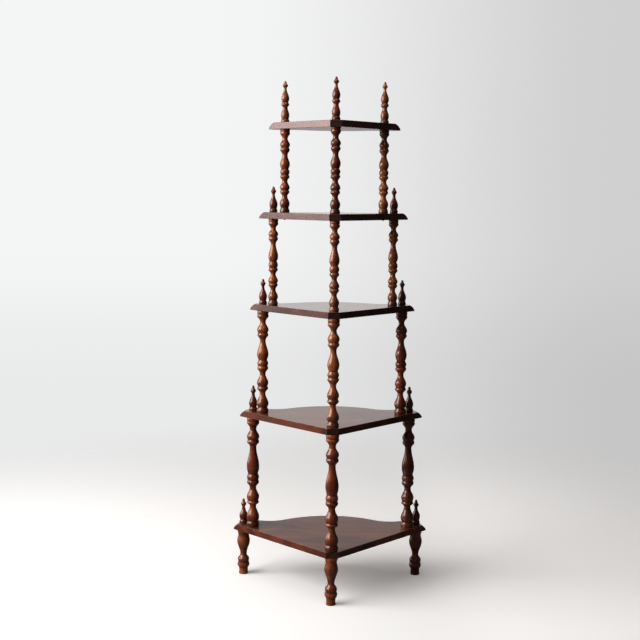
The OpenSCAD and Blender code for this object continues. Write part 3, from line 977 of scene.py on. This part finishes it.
# %% Finishes of the boards
# Dark, middle, pale and worn colour of each tone
BOARD_TONES = {
    "jet": ((0.015, 0.004, 0.002, 1), (0.042, 0.01, 0.006, 1),
            (0.125, 0.033, 0.019, 1), (0.22, 0.085, 0.05, 1)),
    "black": ((0.015, 0.004, 0.003, 1), (0.036, 0.012, 0.008, 1),
              (0.105, 0.036, 0.024, 1), (0.2, 0.085, 0.05, 1)),
    "umber": ((0.015, 0.004, 0.003, 1), (0.036, 0.012, 0.008, 1),
              (0.11, 0.036, 0.024, 1), (0.2, 0.08, 0.05, 1)),
    "red": ((0.024, 0.006, 0.003, 1), (0.085, 0.018, 0.006, 1),
            (0.24, 0.056, 0.02, 1), (0.3, 0.12, 0.06, 1)),
    "plum": ((0.02, 0.005, 0.003, 1), (0.075, 0.016, 0.006, 1),
             (0.26, 0.058, 0.022, 1), (0.26, 0.1, 0.05, 1)),
}
BOARD_SHEEN = {"jet": 0.95, "black": 0.7, "umber": 0.5, "red": 0.4, "plum": 0.42}
BOARD_STAIN = {"top": "jet", "second": "black", "third": "umber", "fourth": "red", "bottom": "plum"}
# Painted shade on the boards' corner facets and marked wall edges
END_SHADE = 0.75
ALONG_THE_FRONT = (0, math.pi / 2, 0)
board_walnut = {
    tone: polished_walnut(
        f"board walnut {tone}", ALONG_THE_FRONT, colours,
        streaks=0.4, dust_amount=0.06, roughness=0.4, gloss_width=0.16, sheen=BOARD_SHEEN[tone],
        shade_and_stain_share=END_SHADE, is_turned=False,
    )
    for tone, colours in BOARD_TONES.items()
}
print(len(board_walnut), "finishes for the boards")

# %% Finishes of the turnings
TURNED_TONES = {
    "ebony": ((0.008, 0.002, 0.002, 1), (0.05, 0.009, 0.007, 1),
              (0.12, 0.026, 0.018, 1), (0.25, 0.09, 0.05, 1)),
    "wine": ((0.014, 0.002, 0.001, 1), (0.12, 0.014, 0.005, 1),
             (0.22, 0.036, 0.012, 1), (0.25, 0.085, 0.043, 1)),
    "plum": ((0.035, 0.004, 0.002, 1), (0.202, 0.027, 0.01, 1),
             (0.343, 0.064, 0.021, 1), (0.37, 0.123, 0.062, 1)),
    "red": ((0.044, 0.005, 0.001, 1), (0.255, 0.051, 0.015, 1),
            (0.396, 0.11, 0.037, 1), (0.396, 0.132, 0.053, 1)),
    "amber": ((0.042, 0.007, 0.002, 1), (0.252, 0.055, 0.017, 1),
              (0.386, 0.118, 0.039, 1), (0.378, 0.134, 0.059, 1)),
    "gold": ((0.05, 0.008, 0.002, 1), (0.311, 0.071, 0.018, 1),
             (0.462, 0.147, 0.044, 1), (0.42, 0.16, 0.067, 1)),
    "cherry": ((0.036, 0.004, 0.001, 1), (0.224, 0.038, 0.01, 1),
               (0.344, 0.08, 0.024, 1), (0.336, 0.112, 0.048, 1)),
    "brown": ((0.042, 0.008, 0.003, 1), (0.244, 0.047, 0.016, 1),
              (0.385, 0.103, 0.039, 1), (0.423, 0.169, 0.075, 1)),
}
# How far the foot of a turning is darkened: painted shade where it stands on a board, with deeper stain
FOOT_SHADE_AND_STAIN = {"ebony": 0.8, "wine": 0.3, "plum": 0.7, "red": 0.8,
              "amber": 0.35, "gold": 0.8, "cherry": 0.8, "brown": 0}
UP_THE_AXIS = (0, 0, 0)
turned_walnut = {
    tone: polished_walnut(
        f"turned walnut {tone}", UP_THE_AXIS, colours,
        streaks=0.6, dust_amount=0.04, roughness=0.42, gloss_width=0.17, sheen=0.3,
        shade_and_stain_share=FOOT_SHADE_AND_STAIN[tone], is_turned=True,
    )
    for tone, colours in TURNED_TONES.items()
}
print(len(turned_walnut), "finishes for the turnings")

# %% Give each piece its finish
# The tone of each turning's stain, over the right, the corner and the left post
POST_ORDER = ("right", "corner", "left")
TURNED_STAIN = {
    "finial_top": ("amber", "plum", "amber"),
    "spindle_1": ("cherry", "wine", "amber"),
    "finial_second": ("wine", None, "wine"),
    "spindle_2": ("gold", "amber", "red"),
    "finial_third": ("wine", None, "ebony"),
    "spindle_3": ("gold", "gold", "plum"),
    "finial_fourth": ("wine", None, "ebony"),
    "spindle_4": ("cherry", "cherry", "wine"),
    "finial_bottom": ("wine", None, "ebony"),
    "leg": ("brown", "brown", "brown"),
}


def finish_in(piece, material):
    """Give a piece one material."""
    piece.data.materials.clear()
    piece.data.materials.append(material)


for board in boards:
    finish_in(board, board_walnut[BOARD_STAIN[board.name.removeprefix("board_")]])
turned_by_name = {piece.name: piece for piece in turned_pieces}
for kind, tones in TURNED_STAIN.items():
    for side, tone in zip(POST_ORDER, tones):
        if tone:
            finish_in(turned_by_name[f"turned_{kind}_{side}"], turned_walnut[tone])
    print(kind, "is stained", tones)

# %% [markdown]
# ## The fixings
#
# The dowel screws are buried in the wood, and only the round heads of the wood screws show, from below.
# Their CAD shape is right, so the nodes stay and only get a finish: steel that has dulled and freckled
# with age.

# %% Dulled steel
DULL_STEEL = (0.36, 0.32, 0.28, 1)
RUST = (0.13, 0.06, 0.03, 1)
STEEL_ROUGHNESS = 0.38
RUST_ROUGHNESS = 0.35
dull_steel = bpy.data.materials.new("dulled steel")
dull_steel.use_nodes = True
steel_tree = dull_steel.node_tree
steel_shader = steel_tree.nodes["Principled BSDF"]
rust = band(steel_tree, noise_on_piece(steel_tree, scale=700, detail=4), low=0.5, high=0.72)
steel_tree.links.new(blend_colours(steel_tree, rust, DULL_STEEL, RUST), steel_shader.inputs["Base Color"])
rougher = math_node(steel_tree, "MULTIPLY", rust, RUST_ROUGHNESS)
steel_tree.links.new(math_node(steel_tree, "ADD", STEEL_ROUGHNESS, rougher),
                     steel_shader.inputs["Roughness"])
steel_tree.links.new(math_node(steel_tree, "SUBTRACT", 1.0, rust), steel_shader.inputs["Metallic"])
for node_name in ("dowel_screws", "spindle_screws"):
    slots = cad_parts[node_name].material_slots
    for material_slot in slots:
        material_slot.material = dull_steel
    print(node_name, "has", len(slots), "material slot in dulled steel")

# %% [markdown]
# ## Floor
#
# The floor is a sheet of pale paper that fades out into the backdrop, so no edge of it shows. The camera
# sees it nearly white, but it throws little light back, because the photo's undersides are dark. A faint
# glow that only the camera sees lifts the shadow and tints it warm, a little more on the side away from
# the window.

# %% Floor
FLOOR_SEEN = (0.93, 0.975, 1, 1)
FLOOR_FOR_LIGHT = (0.12, 0.117, 0.115, 1)
FLOOR_ROUGHNESS = 0.85
FLOOR_SHEEN = 0.1
FADE_FROM = 0.7
FADE_TO = 2.6
clear_selection()
bpy.ops.mesh.primitive_plane_add(size=2 * FADE_TO)
floor = bpy.context.object
floor.name = "floor"
paper = bpy.data.materials.new("pale floor")
paper.use_nodes = True
paper_tree = paper.node_tree
paper_shader = paper_tree.nodes["Principled BSDF"]
paper_shader.inputs["Roughness"].default_value = FLOOR_ROUGHNESS
paper_shader.inputs["Specular IOR Level"].default_value = FLOOR_SHEEN
paper_ray = add_node(paper_tree, "ShaderNodeLightPath")
paper_colour = blend_colours(paper_tree, paper_ray.outputs["Is Camera Ray"], FLOOR_FOR_LIGHT, FLOOR_SEEN)
paper_tree.links.new(paper_colour, paper_shader.inputs["Base Color"])
floor.data.materials.append(paper)
print("floor is", 2 * FADE_TO, "m wide and fades from", FADE_FROM, "m out to", FADE_TO, "m")

# %% Lift and tint the floor's shadow
SHADOW_TINT = (0.97, 0.9, 0.86, 1)
SHADOW_LIFT = 0.19
SIDE_LIFT = 0.1
SIDE_FROM = 0.22
SIDE_TO = 0.55
paper_place = add_node(paper_tree, "ShaderNodeTexCoord")
towards_window = parts_of(paper_tree, paper_place.outputs["Object"])["X"]
into_shade = math_node(paper_tree, "MULTIPLY", towards_window, -1.0)
away_from_window = band(paper_tree, into_shade, SIDE_FROM, SIDE_TO)
side_glow = math_node(paper_tree, "MULTIPLY", away_from_window, SIDE_LIFT)
glow = math_node(paper_tree, "ADD", side_glow, SHADOW_LIFT)
lift = add_node(paper_tree, "ShaderNodeEmission", inputs={"Color": SHADOW_TINT})
paper_tree.links.new(math_node(paper_tree, "MULTIPLY", paper_ray.outputs["Is Camera Ray"], glow),
                     lift.inputs["Strength"])
lifted = add_node(paper_tree, "ShaderNodeAddShader")
paper_tree.links.new(paper_shader.outputs["BSDF"], lifted.inputs[0])
paper_tree.links.new(lift.outputs["Emission"], lifted.inputs[1])
print("shadow is lifted by", SHADOW_LIFT, "and by", SIDE_LIFT, "more away from the window")

# %% Fade the floor into the backdrop
distance = add_node(paper_tree, "ShaderNodeVectorMath", operation="LENGTH")
paper_tree.links.new(paper_place.outputs["Object"], distance.inputs[0])
clear = add_node(paper_tree, "ShaderNodeBsdfTransparent")
fading = add_node(paper_tree, "ShaderNodeMixShader")
paper_tree.links.new(band(paper_tree, distance.outputs["Value"], FADE_FROM, FADE_TO),
                     fading.inputs["Fac"])
paper_tree.links.new(lifted.outputs["Shader"], fading.inputs[1])
paper_tree.links.new(clear.outputs["BSDF"], fading.inputs[2])
paper_tree.links.new(fading.outputs["Shader"], paper_tree.nodes["Material Output"].inputs["Surface"])
print("floor material has", len(paper_tree.nodes), "nodes")

# %% [markdown]
# ## Room and backdrop
#
# A studio for dark, glossy furniture is mostly about what the polish reflects. Opposite the camera there is
# a pale wall, which the boards' tops mirror at a glance, and the rest of the room is dark. The camera sees
# none of it, but a plain pale backdrop that darkens towards the right of the picture and a little towards
# the floor. Cards of real paper could do this, but two gradients in the world's own directions need no
# room, and the shelf stays the only object in it besides the floor.

# %% The room that the polish mirrors
WALL_LIGHT = 0.9
LEFT_LIGHT = 0.03
ROOM_LIGHT = 0.028
LIGHT_ABOVE = (1, 0.95, 0.935, 1)
LIGHT_BELOW = (1, 0.85, 0.83, 1)
world = bpy.data.worlds.new("pale room")
bpy.context.scene.world = world
world.use_nodes = True
room = world.node_tree
room.nodes.clear()
direction = add_node(room, "ShaderNodeTexCoord")
towards = parts_of(room, direction.outputs["Generated"])
ahead = band(room, math_node(room, "MULTIPLY", towards["Y"], -1.0), low=0.1, high=0.8)
low_down = math_node(room, "SUBTRACT", 1.0, band(room, towards["Z"], low=0.06, high=0.44))
above_floor = band(room, towards["Z"], low=-0.11, high=-0.04)
on_the_left = band(room, towards["X"], low=-0.55, high=0.0)
pale_wall = math_node(room, "MULTIPLY", math_node(room, "MULTIPLY", ahead, low_down),
                      math_node(room, "MULTIPLY", on_the_left, WALL_LIGHT))
standing_wall = math_node(room, "MULTIPLY", pale_wall, above_floor)
left_glow = math_node(room, "MULTIPLY", on_the_left, LEFT_LIGHT)
brightness = math_node(room, "ADD", math_node(room, "ADD", standing_wall, left_glow), ROOM_LIGHT)
light_of_room = add_node(room, "ShaderNodeBackground")
room.links.new(blend_colours(room, above_floor, LIGHT_BELOW, LIGHT_ABOVE),
               light_of_room.inputs["Color"])
room.links.new(brightness, light_of_room.inputs["Strength"])
print("room's light has", len(room.nodes), "nodes")

# %% The backdrop that the camera sees
BACKDROP = (0.91, 0.915, 0.92, 1)
SHADED_BACKDROP = (0.63, 0.625, 0.625, 1)
HORIZON_DIM = 0.1
seen_backdrop = add_node(room, "ShaderNodeBackground")
near_floor = math_node(room, "SUBTRACT", 1.0, band(room, towards["Z"], low=-0.17, high=-0.04))
dimming = math_node(room, "MULTIPLY", near_floor, HORIZON_DIM)
room.links.new(math_node(room, "SUBTRACT", 1.0, dimming), seen_backdrop.inputs["Strength"])
lit_side = band(room, towards["X"], low=-0.28, high=0.1)
room.links.new(blend_colours(room, lit_side, SHADED_BACKDROP, BACKDROP), seen_backdrop.inputs["Color"])
ray = add_node(room, "ShaderNodeLightPath")
either = add_node(room, "ShaderNodeMixShader")
world_out = add_node(room, "ShaderNodeOutputWorld")
room.links.new(ray.outputs["Is Camera Ray"], either.inputs["Fac"])
room.links.new(light_of_room.outputs["Background"], either.inputs[1])
room.links.new(seen_backdrop.outputs["Background"], either.inputs[2])
room.links.new(either.outputs["Shader"], world_out.inputs["Surface"])
print("world has", len(room.nodes), "nodes")

# %% [markdown]
# ## Lamps
#
# Three soft lamps light the shelf. A large window stands high on the left, so it runs down the left of
# every turning and lights the upper wall edges. A small low one picks out the left of the lowest
# turnings, and a weak one overhead brightens the boards' tops. The right of every turning falls into
# shade. Area lamps give edges as soft as the photo's, where a sun or a spot would draw them hard.

# %% Lamps
def soft_lamp(name, place, aim, width, height, watts, colour):
    """A rectangular area lamp at a place, turned to face a point."""
    data = bpy.data.lights.new(name, "AREA")
    data.shape = "RECTANGLE"
    data.size, data.size_y = width, height
    data.energy = watts
    data.color = colour
    lamp = bpy.data.objects.new(name, data)
    bpy.context.scene.collection.objects.link(lamp)
    lamp.location = place
    lamp.rotation_euler = (Vector(aim) - Vector(place)).to_track_quat("-Z", "Y").to_euler()
    print(name, "is", round((Vector(aim) - Vector(place)).length, 2), "m from what it lights")


soft_lamp("window", place=(2.65, 0.98, 2.1), aim=(0, 0, 0.9),
          width=2.8, height=2.2, watts=145, colour=(1, 0.93, 0.88))
soft_lamp("low window", place=(2.8, -0.68, 0.6), aim=(0, 0, 0.6),
          width=1.1, height=0.8, watts=12, colour=(1, 0.9, 0.84))
soft_lamp("overhead", place=(0.2, 0.4, 3.6), aim=(0, 0, 0.8),
          width=2.4, height=2.4, watts=27, colour=(1, 0.98, 0.96))

# %% [markdown]
# ## Last steps
#
# The picture uses the Standard view, so a colour renders about as it is written. The dressed piece has
# to stay the size of the CAD model.

# %% View settings
bpy.context.scene.view_settings.view_transform = "Standard"
